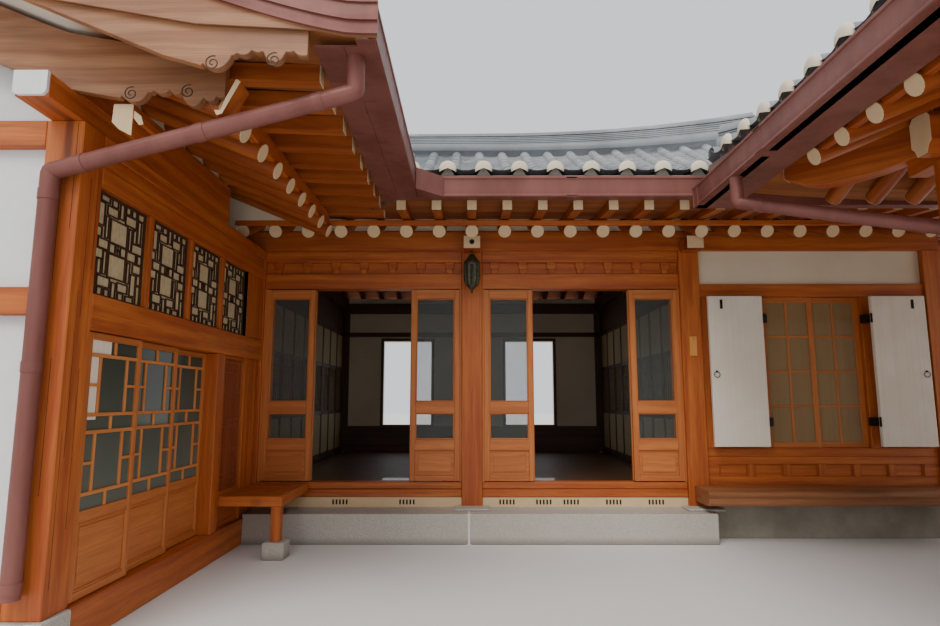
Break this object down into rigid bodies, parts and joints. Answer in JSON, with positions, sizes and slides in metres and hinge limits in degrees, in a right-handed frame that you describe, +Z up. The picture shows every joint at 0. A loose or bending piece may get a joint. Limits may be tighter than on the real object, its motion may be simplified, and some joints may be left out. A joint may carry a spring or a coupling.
{
  "type": "hanok house",
  "caption": "Single-storey timber house round a court, with tiled roofs, sliding lattice doors, a left wing and a small side house.",
  "frame": {"origin": "at court level, on the underside of the stone base, below the centre of the hall's middle post", "axes": "+X to the right along the hall's front, +Y from the court towards the back wall, +Z up"},
  "size_m": [15.3, 14.285, 5.8894],
  "materials": {
    "stone": "dressed granite, matt",
    "pine": "oiled pine, satin",
    "dark_pine": "aged pine, satin",
    "plaster": "lime plaster, matt",
    "tile": "fired clay roof tile, matt",
    "sheet_metal": "painted sheet, semi-gloss",
    "paper": "mulberry paper on wood, matt",
    "bronze": "cast bronze with green patina",
    "glass": "clear window glass"
  },
  "bodies": {
    "house": {"stone_base": "stone", "bench_footstone": "stone", "side_stone_base": "stone", "hall_front_frame": "pine", "room_front_panel": "pine", "room_window_sashes": "pine", "bay1_fixed_leaves": "pine", "bay2_fixed_leaves": "pine", "wing_court_frame": "pine", "wing_corner_panel": "pine", "rear_frame": "pine", "east_frame": "pine", "west_frame": "pine", "west_window": "pine", "wing_gable_frame": "pine", "main_rafters": "pine", "wing_rafters": "pine", "side_rafters": "pine", "bargeboard_outer": "pine", "bargeboard_inner": "pine", "corner_bench": "pine", "room_bench": "pine", "side_frame": "pine", "side_window": "pine", "hall_floor": "dark_pine", "wing_transoms": "dark_pine", "main_roof_timbers": "dark_pine", "wing_roof_timbers": "dark_pine", "room_upper_plaster": "plaster", "rear_wall": "plaster", "east_wall": "plaster", "west_wall": "plaster", "wing_gable_wall": "plaster", "east_gable_board": "plaster", "side_walls": "plaster", "main_roof": "tile", "wing_roof": "tile", "side_roof": "tile", "main_ridge_tiles": "tile", "wing_ridge_tiles": "tile", "side_ridge_tiles": "tile", "court_gutter": "sheet_metal", "side_gutter": "sheet_metal", "wing_downpipe": "sheet_metal", "side_downpipe": "sheet_metal", "shutter_left": "paper", "shutter_right": "paper", "partition_west": "paper", "partition_east": "paper", "post_lantern": "bronze"},
    "bay1_west_leaf": {"bay1_sliding_west": "pine"},
    "bay1_east_leaf": {"bay1_sliding_east": "pine"},
    "bay2_west_leaf": {"bay2_sliding_west": "pine"},
    "bay2_east_leaf": {"bay2_sliding_east": "pine"},
    "wing_south_leaf": {"wing_door_south": "pine"},
    "wing_middle_leaf": {"wing_door_middle": "pine"},
    "wing_north_leaf": {"wing_door_north": "pine"},
    "side_house_leaf": {"side_door": "pine"}
  },
  "joints": [
    {"name": "bay1_west_slide", "type": "slide", "parent": "house", "child": "bay1_west_leaf", "axis": [1, 0, 0], "range_m": [0, 0.52]},
    {"name": "bay1_east_slide", "type": "slide", "parent": "house", "child": "bay1_east_leaf", "axis": [-1, 0, 0], "range_m": [0, 0.52]},
    {"name": "bay2_west_slide", "type": "slide", "parent": "house", "child": "bay2_west_leaf", "axis": [1, 0, 0], "range_m": [0, 0.52]},
    {"name": "bay2_east_slide", "type": "slide", "parent": "house", "child": "bay2_east_leaf", "axis": [-1, 0, 0], "range_m": [0, 0.52]},
    {"name": "wing_south_slide", "type": "slide", "parent": "house", "child": "wing_south_leaf", "axis": [0, 1, 0], "range_m": [0, 1.26]},
    {"name": "wing_middle_slide", "type": "slide", "parent": "house", "child": "wing_middle_leaf", "axis": [0, 1, 0], "range_m": [-0.63, 0.63]},
    {"name": "wing_north_slide", "type": "slide", "parent": "house", "child": "wing_north_leaf", "axis": [0, -1, 0], "range_m": [0, 1.26]},
    {"name": "side_house_slide", "type": "slide", "parent": "house", "child": "side_house_leaf", "axis": [0, 1, 0], "range_m": [0, 0.85]}
  ]
}
